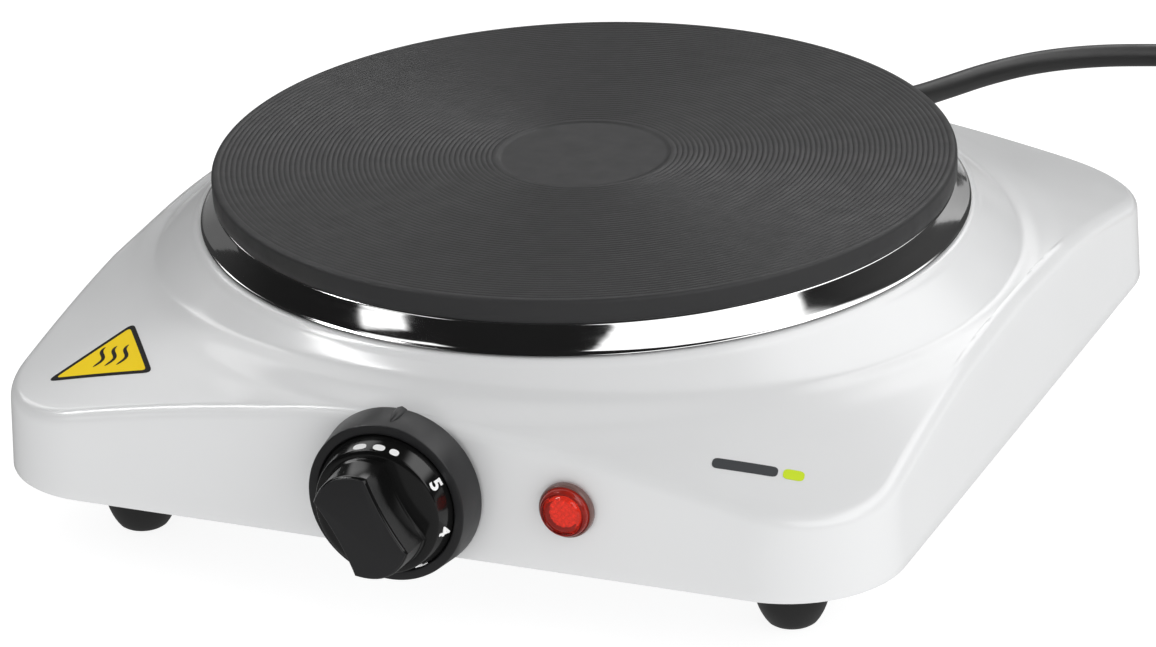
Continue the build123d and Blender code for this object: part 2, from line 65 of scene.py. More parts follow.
AXIS_Y = 12.0           # the plate's axis in the row frame
FLOOR_Z = -10.5         # the floor in the part's own coordinates
PLATE_R = 92.5
PLATE_TOP = 65.7
RIM_Z = 59.7            # lower edge of the plate's rim
HALF = 115.0            # half the housing's width at its bottom edge
CORNER_R = 28.0
BODY_Z = 9.0
LEAN = math.tan(math.radians(2.0))  # how far the walls lean in as they rise
SHEET = 1.0             # the housing's thickness
EDGE_R = 4.2            # rounding between its top and its walls
SHELF_Z = 52.6
SHELF_R = 92.0
OPENING_R = 96.4
CROWN_R = 105.5
CROWN_Z = 44.5
TOP_SLOPE = 0.338
CROWN_SLOPE = 0.89
KNOB_Z = 25.5
KNOB_BACK = -115.4
RIM_Y = -124.3
DRUM_Y = -129.2
FACE_Y = -139.0
KNOB_R = 19.8
SKIRT_BACK_R = 20.8
DIAL_R = 17.3
DRUM_R = 15.7
LAMP_X = 42.2
LAMP_Z = 26.0
LAMP_Y = -114.68
LENS_R = 6.15
FOOT_X, FOOT_Y = 85.5, 84.0
CORD_D = 6.5
CORD_Z = 18.0
FULL_TURN = 2 * math.pi


def put(x, y, z):
    """Point of the row frame, in metres, from millimetres about the plate's axis."""
    return Vector((x, y + AXIS_Y, z - FLOOR_Z)) * 0.001


def direction(azimuth_deg, elevation_deg):
    """Unit vector, its azimuth measured from the front towards +X."""
    a, e = math.radians(azimuth_deg), math.radians(elevation_deg)
    return Vector((math.sin(a) * math.cos(e), -math.cos(a) * math.cos(e), math.sin(e)))


def ramp(value, start, end):
    """0 before start, 1 after end, with a smooth change between them."""
    t = min(max((value - start) / (end - start), 0.0), 1.0)
    return t * t * (3 - 2 * t)


# ---------------------------------------------------------------- camera
def make_camera():
    """View that the object is seen from: 23 degrees to the right of its front, 24 above the table."""
    roll = math.radians(-2.2673)
    distance = 1.5051716
    target = put(0, 0, BODY_Z)
    back = direction(23.4785, 23.8989)
    side = (-back).cross(Vector((0, 0, 1))).normalized()
    above = side.cross(-back)
    right = math.cos(roll) * side + math.sin(roll) * above
    up = -math.sin(roll) * side + math.cos(roll) * above
    data = bpy.data.cameras.new("camera")
    data.sensor_width = 36.0
    data.lens = 186.1163
    data.shift_x = -0.0122454
    data.shift_y = 0.0330157
    data.clip_end = 50.0
    camera = bpy.data.objects.new("camera", data)
    matrix = Matrix((right, up, back)).transposed().to_4x4()
    matrix.translation = target + back * distance
    camera.matrix_world = matrix
    bpy.context.scene.collection.objects.link(camera)
    bpy.context.scene.camera = camera


make_camera()

# ---------------------------------------------------------------- mains lead
ROUTE = [
    (0, 143, 18), (0, 157, 18), (2.6, 172, 14.0), (7.0, 188, 8.6), (12.0, 205, 4.6), (16.5, 221, 2.4),
    (22.5, 238, 0.9), (32, 255, -0.6), (45, 269, -2.4), (60, 280, -4.6), (77, 290, -6.6),
]
COIL_X, COIL_Y = 122.0, 268.0
PLUG_X, PLUG_Y, PLUG_Z = 158.0, 232.0, FLOOR_Z + 8.5
FLOOR_CORD = FLOOR_Z + CORD_D / 2


def roll_over(centre_r, from_deg, to_deg, t):
    """Radius and height of a turn that rolls over the turn that lies on the floor at centre_r."""
    angle = math.radians(from_deg + (to_deg - from_deg) * t)
    gap = CORD_D * 1.02
    return centre_r + gap * math.cos(angle), FLOOR_CORD + gap * math.sin(angle)


def coil_place(swept):
    """Radius and height in the coil, after so many degrees of winding."""
    outer, inner = 37.6, 31.0
    if swept < 590:
        inwards = ramp(swept, 285, 360)
        return outer + (inner - outer) * inwards + 2.4 * (1 - ramp(swept, 0, 30)), FLOOR_CORD
    if swept < 945:
        radius, height = roll_over(outer, 180, 120, ramp(swept, 590, 645))
        crossing = ramp(swept, 655, 682) * (1 - ramp(swept, 700, 728))
        return radius, height + 1.0 * crossing
    radius, height = roll_over(outer, 120, 60, ramp(swept, 945, 1000))
    crossing = ramp(swept, 1050, 1080) * (1 - ramp(swept, 1105, 1130))
    return radius, height + 1.1 * crossing


def coil_points():
    """Control points of the coil's turns, wound clockwise as seen from above."""
    start_deg, whole = 123.0, 1203.0
    steps = 66
    pull = 1.018         # the curve runs inside its control points
    points = []
    for i in range(1, steps):
        swept = whole * i / steps
        radius, height = coil_place(swept)
        angle = math.radians(start_deg - swept)
        points.append((
            COIL_X + radius * pull * math.cos(angle), COIL_Y + radius * pull * math.sin(angle), height,
        ))
    return points


TAIL = [
    (162.6, 268, PLUG_Z + 0.4), (162.2, 258, PLUG_Z + 0.3), (160.2, 248, PLUG_Z + 0.1),
    (PLUG_X, 240, PLUG_Z), (PLUG_X, PLUG_Y, PLUG_Z),
]


def nurbs_tube(name, points, diameter):
    """Round tube along a smooth curve that the points control."""
    data = bpy.data.curves.new(name, "CURVE")
    data.dimensions = "3D"
    spline = data.splines.new("NURBS")
    spline.points.add(len(points) - 1)
    for control, place in zip(spline.points, points):
        control.co = (*put(*place), 1.0)
        control.radius = diameter / 2000
    spline.order_u = 3
    spline.use_endpoint_u = True
    data.resolution_u = 10
    data.bevel_depth = 1.0
    data.bevel_resolution = 7
    data.use_fill_caps = True
    made = bpy.data.objects.new(name, data)
    bpy.context.scene.collection.objects.link(made)
    return made


power_lead = nurbs_tube("power_lead", ROUTE + coil_points() + TAIL, CORD_D)


# ---------------------------------------------------------------- mesh helpers
def mesh_object(name, verts, faces, sharp_deg=35.0):
    """Object from points in millimetres about the plate's axis."""
    mesh = bpy.data.meshes.new(name)
    mesh.from_pydata([put(*v) for v in verts], [], faces)
    made = bpy.data.objects.new(name, mesh)
    bpy.context.scene.collection.objects.link(made)
    finish_mesh(made, sharp_deg)
    return made


def finish_mesh(made, sharp_deg=35.0):
    """Faces outwards, smooth shading, and hard edges only where the surface really turns."""
    work = bmesh.new()
    work.from_mesh(made.data)
    bmesh.ops.remove_doubles(work, verts=work.verts, dist=1e-6)
    bmesh.ops.recalc_face_normals(work, faces=work.faces)
    work.to_mesh(made.data)
    work.free()
    for polygon in made.data.polygons:
        polygon.use_smooth = True
    made.data.set_sharp_from_angle(angle=math.radians(sharp_deg))


def turned(profile, segments, place):
    """Points and faces of a closed profile turned round an axis; place(r, h, angle) gives a point."""
    verts, rows = [], []
    for r, h in profile:
        if r < 1e-6:
            rows.append([len(verts)] * segments)
            verts.append(place(0.0, h, 0.0))
        else:
            rows.append(list(range(len(verts), len(verts) + segments)))
            verts += [place(r, h, FULL_TURN * i / segments) for i in range(segments)]
    faces = []
    for low, high in zip(rows, rows[1:] + rows[:1]):
        if low[0] == low[1] and high[0] == high[1]:
            continue
        for i in range(segments):
            j = (i + 1) % segments
            corner = [low[i], low[j], high[j], high[i]]
            face = list(dict.fromkeys(corner))
            if len(face) > 2:
                faces.append(face)
    return verts, faces


def about_z(profile, segments=384):
    return turned(profile, segments, lambda r, h, a: (r * math.cos(a), r * math.sin(a), h))


def about_y(profile, x, z, segments=128):
    return turned(profile, segments, lambda r, h, a: (x + r * math.sin(a), h, z + r * math.cos(a)))


def merge(*parts):
    verts, faces = [], []
    for more_verts, more_faces in parts:
        start = len(verts)
        verts += more_verts
        faces += [[i + start for i in f] for f in more_faces]
    return verts, faces


def lofted(rows, capped=True):
    """Faces between closed rows of point numbers, one after the other, and over the two ends."""
    faces = []
    count = len(rows[0])
    for low, high in zip(rows, rows[1:]):
        for i in range(count):
            j = (i + 1) % count
            faces.append([low[i], low[j], high[j], high[i]])
    if capped:
        faces += [list(rows[0]), list(reversed(rows[-1]))]
    return faces


def film_faces(flat_faces, count):
    """Faces of a thin film: one side, the other side count points later, and the edge round them."""
    faces = [list(f) for f in flat_faces] + [[i + count for i in f] for f in flat_faces]
    edges = dict.fromkeys(edge for f in flat_faces for edge in zip(f, f[1:] + f[:1]))
    for a, b in edges:
        if (b, a) not in edges:
            faces.append([a, b, b + count, a + count])
    return faces


def rounded(profile, radius, steps=4, keep=()):
    """Closed profile whose corners are rounded, apart from those in keep."""
    count = len(profile)
    result = []
    for i, point in enumerate(profile):
        before, after = profile[i - 1], profile[(i + 1) % count]
        if i in keep or point[0] < 1e-6:
            result.append(point)
            continue
        p = Vector(point)
        a = Vector(before) - p
        b = Vector(after) - p
        reach = min(radius, a.length * 0.45, b.length * 0.45)
        start = p + a.normalized() * reach
        end = p + b.normalized() * reach
        for k in range(steps + 1):
            t = k / steps
            q = start * (1 - t) ** 2 + p * 2 * t * (1 - t) + end * t * t
            result.append((q.x, q.y))
    return result


def ride(made, body, node_names=(), slot=None):
    """Put a piece on its body, hide the CAD nodes it stands for, and give it its material slot."""
    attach(made, body)
    if node_names:
        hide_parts(*node_names)
    if slot:
        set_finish(made, slot)
    return made


# ---------------------------------------------------------------- housing
def outline(samples):
    """Points and outward directions round the housing's square plan at its bottom edge."""
    straight = 2 * (HALF - CORNER_R)
    arc = CORNER_R * math.pi / 2
    side = straight + arc
    found = []
    for i in range(samples):
        s = 4 * side * i / samples
        quarter = int(s // side)
        s -= quarter * side
        if s < straight / 2:
            x, y, nx, ny = HALF, s, 1.0, 0.0
        elif s < straight / 2 + arc:
            a = (s - straight / 2) / CORNER_R
            nx, ny = math.cos(a), math.sin(a)
            x = HALF - CORNER_R + CORNER_R * nx
            y = HALF - CORNER_R + CORNER_R * ny
        else:
            x, y, nx, ny = side - s, HALF, 0.0, 1.0
        for _ in range(quarter):
            x, y, nx, ny = -y, x, -ny, nx
        found.append((x, y, nx, ny))
    return found


def top_height(x, y):
    """Height of the pressed top: a sloping skin with a conical crown that rises to the opening."""
    r = math.hypot(x, y)
    around = math.cos(2 * math.atan2(y, x))
    fade = 1.0 - 0.7 * ramp(r, 106, 113) - 0.3 * ramp(r, 113, 120)
    skin = CROWN_Z - TOP_SLOPE * (r - CROWN_R) - 2.2 * around * fade
    crown = SHELF_Z - CROWN_SLOPE * (r - OPENING_R)
    blend = 0.45
    gap = crown - skin
    return 0.5 * (crown + skin + math.sqrt(gap * gap + blend * blend))


def wall_offset(z):
    """How far the leaning wall stands outside its bottom edge at a height, so zero or less."""
    return -LEAN * (z - BODY_Z)


def edge_arc(x, y, nx, ny, radius=EDGE_R, steps=9):
    """Stations over the rounded edge between the top and the leaning wall, as (offset, height)."""
    first_guess, rounds = 35.0, 12
    z = first_guess
    for _ in range(rounds):
        u = wall_offset(z)
        z = top_height(x + u * nx, y + u * ny)
    u = wall_offset(z)
    step = 0.5
    rise = (z - top_height(x + (u - step) * nx, y + (u - step) * ny)) / step
    corner = Vector((u, z))
    inward = Vector((-1.0, -rise)).normalized()
    down = Vector((LEAN, -1.0)).normalized()
    half = inward.angle(down) / 2
    middle = (inward + down).normalized()
    centre = corner + middle * (radius / math.sin(half))
    first = corner + inward * (radius / math.tan(half))
    last = corner + down * (radius / math.tan(half))
    a0 = math.atan2(first.y - centre.y, first.x - centre.x)
    a1 = math.atan2(last.y - centre.y, last.x - centre.x)
    points = []
    for k in range(steps + 1):
        a = a0 + (a1 - a0) * k / steps
        points.append((centre.x + radius * math.cos(a), centre.y + radius * math.sin(a)))
    return points


def housing_surface(samples):
    """Rows of outer points from the opening to the bottom edge."""
    lip_z = SHELF_Z - 0.03
    lip_rows = [(SHELF_R, SHELF_Z), (93.6, SHELF_Z), (95.2, SHELF_Z), (95.8, lip_z)]
    cone_start, cone_end = 96.2, 112.5
    cone_rs = [cone_start, 96.6, 97.2] + [98 + 0.5 * i for i in range(24)]
    cone_rs += [110.4, 111, 111.7, cone_end]
    gap, skin_rows, wall_rows = 0.8, 14, 8
    columns = []
    for x, y, nx, ny in outline(samples):
        phi = math.atan2(y, x)
        c, s = math.cos(phi), math.sin(phi)
        column = [(r * c, r * s, h) for r, h in lip_rows]
        arc = edge_arc(x, y, nx, ny)
        u0 = arc[0][0]
        ex, ey = x + u0 * nx, y + u0 * ny
        limit = math.hypot(ex, ey)
        for r in cone_rs:
            if limit < cone_end + 1.0:
                r = cone_start + (r - cone_start) * (limit - gap - cone_start) / (cone_end - cone_start)
            share = ramp(r, 95.8, 98.4)
            h = lip_z * (1 - share) + top_height(r * c, r * s) * share
            column.append((r * c, r * s, h))
        last_x, last_y, _ = column[-1]
        for k in range(1, skin_rows):
            t = k / skin_rows
            px, py = last_x + (ex - last_x) * t, last_y + (ey - last_y) * t
            column.append((px, py, top_height(px, py)))
        for u, z in arc:
            column.append((x + u * nx, y + u * ny, z))
        z_arc = arc[-1][1]
        for k in range(1, wall_rows + 1):
            z = z_arc + (BODY_Z + 0.4 - z_arc) * k / wall_rows
            u = wall_offset(z)
            column.append((x + u * nx, y + u * ny, z))
        column.append((x - 0.12 * nx, y - 0.12 * ny, BODY_Z + 0.1))
        column.append((x - 0.4 * nx, y - 0.4 * ny, BODY_Z))
        columns.append(column)
    return columns


def housing_mesh(samples):
    """Outer skin, and an inner skin one sheet's thickness inside it, closed at both edges."""
    columns = housing_surface(samples)
    rows = len(columns[0])
    grid = np.array(columns)
    along = np.empty_like(grid)
    along[:, 1:-1] = grid[:, 2:] - grid[:, :-2]
    along[:, 0] = grid[:, 1] - grid[:, 0]
    along[:, -1] = grid[:, -1] - grid[:, -2]
    across = np.roll(grid, -1, 0) - np.roll(grid, 1, 0)
    normal = np.cross(across, along)
    normal /= np.linalg.norm(normal, axis=2, keepdims=True)
    if normal[0, 0, 2] < 0:
        normal = -normal
    inner = grid - normal * SHEET
    inner[:, -3:, 2] = np.maximum(inner[:, -3:, 2], BODY_Z)
    for j in (-2, -1):
        inner[:, j, :2] = inner[:, -3, :2]
    inner[:, -2, 2] = BODY_Z + 0.1
    inner[:, -1, 2] = BODY_Z
    verts = [tuple(p) for p in grid.reshape(-1, 3)] + [tuple(p) for p in inner.reshape(-1, 3)]
    start = samples * rows
    faces = []
    for i in range(samples):
        j = (i + 1) % samples
        for k in range(rows - 1):
            faces.append([i * rows + k, i * rows + k + 1, j * rows + k + 1, j * rows + k])
            faces.append([start + i * rows + k, start + j * rows + k, start + j * rows + k + 1,
                          start + i * rows + k + 1])
        for edge in (0, rows - 1):
            a, b = i * rows + edge, j * rows + edge
            faces.append([a, b, start + b, start + a])
    return verts, faces


def cut_holes(made, holes):
    """Round holes through the walls, each (x, z, radius, the two ends of its cutter in y)."""
    for number, (x, z, radius, (y0, y1)) in enumerate(holes):
        profile = [(0, y0), (radius, y0), (radius, y1), (0, y1)]
        cutter = mesh_object(f"cutter_{number}", *about_y(profile, x, z, 48))
        modifier = made.modifiers.new("hole", "BOOLEAN")
        modifier.operation = "DIFFERENCE"
        modifier.solver = "EXACT"
        modifier.object = cutter
        bpy.context.view_layer.update()
        evaluated = made.evaluated_get(bpy.context.evaluated_depsgraph_get())
        mesh = bpy.data.meshes.new_from_object(evaluated)
        made.modifiers.clear()
        old = made.data
        made.data = mesh
        bpy.data.meshes.remove(old)
        bpy.data.objects.remove(cutter)


FRONT_WALL, BACK_WALL = (-121, -106), (106, 121)
housing_shell = mesh_object("housing_shell", *housing_mesh(448))
cut_holes(housing_shell, [
    (0, KNOB_Z, 5.0, FRONT_WALL),
    (14, KNOB_Z, 2.2, FRONT_WALL),
    (-14, KNOB_Z, 2.2, FRONT_WALL),
    (LAMP_X, LAMP_Z, 5.6, FRONT_WALL),
    (0, CORD_Z, 6.3, BACK_WALL),
])
finish_mesh(housing_shell, 40)
ride(housing_shell, "burner", ["housing"], "satin_paint")


# ---------------------------------------------------------------- hotplate and its ring
# one groove's section: how far along its pitch, and how deep
FINE_GROOVE = [(0.0, 0.0), (0.5, 1.0)]
GROOVE = [(0.0, 0.0), (0.3, 0.0), (0.4, 0.2), (0.6, 0.9), (0.65, 1.0), (0.7, 0.9), (0.9, 0.2)]


def grooves(section, start, end, pitch, depth, level):
    """Profile of grooves side by side, ending flat where the next one would pass end."""
    points = []
    radius = start
    while radius + pitch < end:
        points += [(radius + pitch * t, level - depth * share) for t, share in section]
        radius += pitch
    return points + [(radius, level)]


def plate_profile():
    """Turned face with shallow concentric grooves, a recess in the middle and a soft rim."""
    top = PLATE_TOP
    floor = top - 0.35
    points = [(0, floor), (2, floor)]
    points += grooves(FINE_GROOVE, 2.5, 20.6, 0.9, 0.06, floor)
    points += [(21.1, floor), (21.5, top - 0.05), (21.7, top)]
    points += grooves(GROOVE, 22.2, 91.0, 1.32, 0.2, top)
    edge, steps = 1.1, 6
    for k in range(steps + 1):
        a = math.radians(90 - 90 * k / steps)
        points.append((PLATE_R - edge + edge * math.cos(a), top - edge + edge * math.sin(a)))
    points += [(PLATE_R, 62.0), (PLATE_R - 0.05, RIM_Z + 0.5), (PLATE_R - 0.5, RIM_Z), (89.5, RIM_Z)]
    points += [(89.5, 50.0), (84, 50.0), (84, 57.7), (28, 57.7), (24, 52), (11, 52), (11, 50), (0, 50)]
    return points


plate_turned = mesh_object("plate_turned", *about_z(plate_profile(), 512), 50)
ride(plate_turned, "burner", ["hotplate"], "cast_plate")


def ring_profile():
    """Bright ring: a cone that flares a little towards its foot, with a thin lip clear of the shelf."""
    top_z, foot_z = 59.2, 53.55
    flare_from, flare_by = 24.0, 9.0
    radius, z = 92.3, top_z
    steps = 9
    drop = (top_z - foot_z) / steps
    cone = []
    for k in range(steps + 1):
        cone.append((radius, z))
        z -= drop
        radius += drop * math.tan(math.radians(flare_from + flare_by * k / steps))
    foot_r = cone[-1][0]
    top = [(90.2, RIM_Z - 0.02), (91.6, RIM_Z - 0.02), (92.1, 59.6)]
    lip = [(foot_r + out, foot_z - down) for out, down in
           ((0.25, 0.22), (0.5, 0.34), (0.55, 0.5), (0.3, 0.56))]
    inside = [(94.5, 52.62), (93.9, 52.62)] + [(r - 0.9, z) for r, z in reversed(cone[:-2])]
    return top + cone + lip + inside + [(90.2, 59.1)]


spill_ring = mesh_object("spill_ring", *about_z(ring_profile(), 512), 60)
ride(spill_ring, "burner", ["trim_ring"], "bright_ring")


# ---------------------------------------------------------------- knob
def skirt_mesh():
    """Outer skirt, a little wider at the wall, with a flat front rim round the dial."""
    profile = [
        (0, KNOB_BACK - 4), (17.0, KNOB_BACK - 4), (17.4, KNOB_BACK), (SKIRT_BACK_R, KNOB_BACK),
        (KNOB_R, RIM_Y), (DIAL_R + 0.15, RIM_Y), (DIAL_R + 0.05, RIM_Y + 1.4), (0, RIM_Y + 1.4),
    ]
    return about_y(rounded(profile, 0.45, 4, keep=(0, 7)), 0, KNOB_Z, 160)


def dial_drum_mesh():
    """Drum with a sloping side that carries the dial's marks, and a slightly domed face."""
    profile = [
        (0, RIM_Y + 1.3), (DIAL_R - 0.1, RIM_Y + 1.3), (DIAL_R - 0.05, RIM_Y + 0.2), (DRUM_R, DRUM_Y),
        (DRUM_R - 1.0, DRUM_Y - 0.35), (8.0, DRUM_Y - 1.0), (0, DRUM_Y - 1.2),
    ]
    return about_y(rounded(profile, 0.3, 4, keep=(0, 6)), 0, KNOB_Z, 160)


def drum_radius(y):
    """Radius of the dial's sloping side at y."""
    return DRUM_R + (DIAL_R - DRUM_R) * (y - DRUM_Y) / (RIM_Y - DRUM_Y)


def grip_outline(grow):
    """Plan of the grip bar: hollowed sides and round ends, grown outwards by so many millimetres."""
    half_w, half_l, shoulder, hollow = 7.8, 13.2, 10.0, 0.75
    steps = 16
    points = []
    for k in range(steps + 1):
        t = -1 + 2 * k / steps
        points.append((half_w - hollow * (1 - t * t), shoulder * t))
    for k in range(1, steps):
        t = 1 - 2 * k / steps
        points.append((half_w * t, shoulder + (half_l - shoulder) * (1 - t * t)))
    points += [(-x, -y) for x, y in points]
    grown = []
    count = len(points)
    for i, (x, y) in enumerate(points):
        x0, y0 = points[i - 1]
        x1, y1 = points[(i + 1) % count]
        d = Vector((x1 - x0, y1 - y0)).normalized()
        grown.append((x + d.y * grow, y - d.x * grow))
    return grown


def grip_body(stations):
    """Closed bar through outlines grown by so much at each y, leaning to the left at its top."""
    turn = math.radians(29.0)
    c, s = math.cos(turn), math.sin(turn)
    verts, rows = [], []
    for grow, y in stations:
        loop = grip_outline(grow)
        rows.append(range(len(verts), len(verts) + len(loop)))
        verts += [(-c * x - s * z, y, KNOB_Z - s * x + c * z) for x, z in loop]
    return verts, lofted(rows)


# how far the outline is grown, and where along the knob's axis
GRIP_SIDE = [
    (1.3, DRUM_Y + 1.2), (1.0, DRUM_Y - 0.7), (0.75, DRUM_Y - 1.3), (0.45, DRUM_Y - 1.8),
    (0.15, FACE_Y + 1.2), (0.06, FACE_Y + 0.7), (-0.12, FACE_Y + 0.36), (-0.3, FACE_Y + 0.25),
]
GRIP_FACE = [(-0.4, FACE_Y + 0.8), (-0.22, FACE_Y + 0.28), (-0.36, FACE_Y + 0.08), (-0.6, FACE_Y)]


def rib_mesh():
    """Small index rib along the top of the skirt, pointed towards the front."""
    verts, rows = [], []
    shape = [(-1.0, 0.0), (-0.7, 0.72), (0.0, 1.0), (0.7, 0.72), (1.0, 0.0)]
    stations = [(KNOB_BACK - 0.1, 1.7, 1.6), (-118.0, 1.6, 1.5), (-120.0, 1.2, 1.2), (-121.6, 0.5, 0.6),
                (-122.2, 0.12, 0.25)]
    lean = math.radians(4.0)
    for y, half, rise in stations:
        rows.append(range(len(verts), len(verts) + len(shape)))
        for a, b in shape:
            angle = lean + a * half / KNOB_R
            r = KNOB_R - 0.4 + b * (rise + 0.4)
            verts.append((r * math.sin(angle), y, KNOB_Z + r * math.cos(angle)))
    return verts, lofted(rows)


knob_skirt = mesh_object("knob_skirt", *skirt_mesh(), 32)
knob_drum = mesh_object("knob_drum", *dial_drum_mesh(), 32)
knob_grip = mesh_object("knob_grip", *grip_body(GRIP_SIDE), 40)
knob_face = mesh_object("knob_face", *grip_body(GRIP_FACE), 60)
knob_rib = mesh_object("knob_rib", *rib_mesh(), 60)
ride(knob_skirt, "control", ["knob"], "knob_black")
for piece in (knob_drum, knob_grip, knob_face, knob_rib):
    ride(piece, "control", [], "knob_black")


def on_drum(angle_deg, across, outwards, lift):
    """Point of a mark on the dial's sloping side; outwards runs from the drum's edge to the skirt."""
    y = DRUM_Y + outwards
    r = drum_radius(y) + lift
    angle = math.radians(angle_deg) + across / r
    return (r * math.sin(angle), y, KNOB_Z + r * math.cos(angle))


def film_on_drum(flat_mesh, angle_deg, middle):
    """Thin raised film from a flat mesh of (across, up) points and faces."""
    flat, flat_faces = flat_mesh
    verts = [on_drum(angle_deg, a, middle + b, lift) for lift in (0.005, 0.06) for a, b in flat]
    return verts, film_faces(flat_faces, len(flat))


def signed_power(value, power):
    return math.copysign(abs(value) ** power, value)


def oval(length, width):
    """Flat mesh of a slightly squared oval."""
    count = 28
    points = []
    for k in range(count):
        t = FULL_TURN * k / count
        x, y = signed_power(math.cos(t), 0.8), signed_power(math.sin(t), 0.8)
        points.append((length / 2 * x, width / 2 * y))
    return points, [list(range(count))]


def numeral(text, height):
    """Flat mesh of a number on the dial, from a text object, with edges short enough to wrap."""
    data = bpy.data.curves.new("numeral", "FONT")
    data.body = text
    data.align_x = "CENTER"
    data.align_y = "CENTER"
    data.size = 1.0
    data.offset = 0.03
    data.resolution_u = 4
    made = bpy.data.objects.new("numeral", data)
    bpy.context.scene.collection.objects.link(made)
    bpy.context.view_layer.update()
    mesh = bpy.data.meshes.new_from_object(made.evaluated_get(bpy.context.evaluated_depsgraph_get()))
    work = bmesh.new()
    work.from_mesh(mesh)
    bmesh.ops.remove_doubles(work, verts=work.verts, dist=1e-5)
    bmesh.ops.recalc_face_normals(work, faces=work.faces)
    ys = [v.co.y for v in work.verts]
    scale = height / (max(ys) - min(ys))
    middle = (max(ys) + min(ys)) / 2
    widen = 1.1
    work.verts.index_update()
    points = [(v.co.x * scale * widen, (v.co.y - middle) * scale) for v in work.verts]
    faces = [[v.index for v in f.verts] for f in work.faces]
    work.free()
    bpy.data.meshes.remove(mesh)
    bpy.data.objects.remove(made)
    return points, faces


def dial_mesh():
    """Three ovals at the top, and numbers that run down clockwise from 5."""
    parts = []
    for angle, length in ((-14.5, 3.5), (3.4, 3.0), (17.3, 2.3)):
        parts.append(film_on_drum(oval(length, 1.75), angle, 1.2))
    first_deg, step_deg, height = 61, 42, 3.5
    for k, text in enumerate("543210"):
        parts.append(film_on_drum(numeral(text, height), first_deg + step_deg * k, 2.5))
    return merge(*parts)


dial_print = mesh_object("dial_print", *dial_mesh(), 60)
ride(dial_print, "control", ["knob_dial"], "print_white")


# ---------------------------------------------------------------- pilot lamp
def on_lamp(profile, radius, keep=()):
    """Turned piece of the lamp, from (radius, distance out from the wall)."""
    from_wall = [(r, LAMP_Y - out) for r, out in profile]
    return about_y(rounded(from_wall, radius, 3, keep), LAMP_X, LAMP_Z, 96)


def lens_mesh():
    """Clear cap with a raised rim, a hollow ring and a raised button in the middle."""
    profile = [
        (0, 0), (LENS_R, 0), (6.1, 1.7), (5.95, 2.8), (5.6, 3.35), (5.2, 3.45), (4.9, 3.2), (4.7, 2.9),
        (4.45, 3.4), (4.1, 3.8), (3.6, 3.9), (0, 3.9),
    ]
    return on_lamp(profile, 0.3, keep=(0, 11))


def flange_mesh():
    """Smoky ring that the lens stands in, flat against the wall."""
    return on_lamp([(6.2, 0), (6.8, 0), (6.75, 1.4), (6.5, 1.9), (6.2, 1.9)], 0.25)


def waffle_mesh():
    """Button of small raised pips under the lens face."""
    pitch, reach = 0.26, 3.6
    pip_pitch, pip_height, middle = 1.75, 0.55, 1.1
    steps = int(2 * reach / pitch)
    verts, index = [], {}
    y0 = LAMP_Y - 1.2
    for i in range(steps + 1):
        for j in range(steps + 1):
            x, z = -reach + i * pitch, -reach + j * pitch
            if math.hypot(x, z) > reach:
                continue
            pips = math.cos(x * FULL_TURN / pip_pitch) * math.cos(z * FULL_TURN / pip_pitch)
            index[i, j] = len(verts)
            verts.append((LAMP_X + x, y0 - middle - pip_height * pips, LAMP_Z + z))
    squares = []
    for i, j in index:
        corners = [index.get(k) for k in ((i, j), (i + 1, j), (i + 1, j + 1), (i, j + 1))]
        if None not in corners:
            squares.append(corners)
    faces = film_faces(squares, len(verts))
    verts += [(x, y0, z) for x, y, z in verts]
    kept = sorted({i for f in faces for i in f})
    renumber = {old: new for new, old in enumerate(kept)}
    return [verts[i] for i in kept], [[renumber[i] for i in f] for f in faces]


lens_faceted = mesh_object("lens_faceted", *lens_mesh(), 40)
lens_flange = mesh_object("lens_flange", *flange_mesh(), 40)
lens_core = mesh_object("lens_core", *waffle_mesh(), 60)
ride(lens_faceted, "burner", ["lamp_lens"], "lens_red")
ride(lens_core, "burner", [], "lens_red")
ride(lens_flange, "burner", [], "lens_red")


# ---------------------------------------------------------------- feet
def foot_mesh(x, y):
    """Domed foot with a counterbored hole for its screw."""
    hole_r, bore_r, seat_z = 2.3, 3.6, 3.4
    dome = [(bore_r, 0.3), (3.9, 0.0), (4.8, 0.0), (5.35, 0.15), (6.0, 0.6), (6.7, 1.55), (7.25, 2.5),
            (7.7, 3.4), (8.15, 4.5), (8.55, 5.7), (9.2, 8.4), (9.6, 12.0), (9.8, 16.0), (9.8, 19.9),
            (9.6, 20.1)]
    profile = [(hole_r, seat_z), (bore_r, seat_z)] + [(r, FLOOR_Z + rise) for r, rise in dome]
    profile.append((hole_r, 9.6))
    return turned(profile, 96, lambda r, h, a: (x + r * math.cos(a), y + r * math.sin(a), h))


for where, (sx, sy) in {
    "front_left": (-1, -1), "front_right": (1, -1), "rear_left": (-1, 1), "rear_right": (1, 1),
}.items():
    foot = mesh_object("rubber_foot_" + where, *foot_mesh(FOOT_X * sx, FOOT_Y * sy), 50)
    ride(foot, "burner", ["foot_" + where], "foot_rubber")


# ---------------------------------------------------------------- strain relief and plug
def boot_mesh():
    """Flange against the wall and a tapered sleeve with moulded rings."""
    y0 = HALF
    profile = [(3.3, y0 - 5), (6.1, y0 - 5), (6.1, y0 + 0.1), (8.0, y0 + 0.1), (8.2, y0 + 0.4),
               (8.2, y0 + 2.2), (7.9, y0 + 2.6), (6.6, y0 + 2.8)]
    ribs, rib_depth = 8, 0.55
    sleeve_start, length = y0 + 3.2, 24.4
    wide, taper = 6.4, 1.9
    for k in range(ribs):
        for t, depth in ((0.1, 0.0), (0.55, 0.0), (0.66, rib_depth), (0.95, rib_depth)):
            s = (k + t) / ribs
            profile.append((wide - taper * s - depth, sleeve_start + length * s))
    profile += [(4.35, y0 + 27.7), (3.9, y0 + 28), (3.3, y0 + 28)]
    return about_y(profile, 0, CORD_Z, 80)


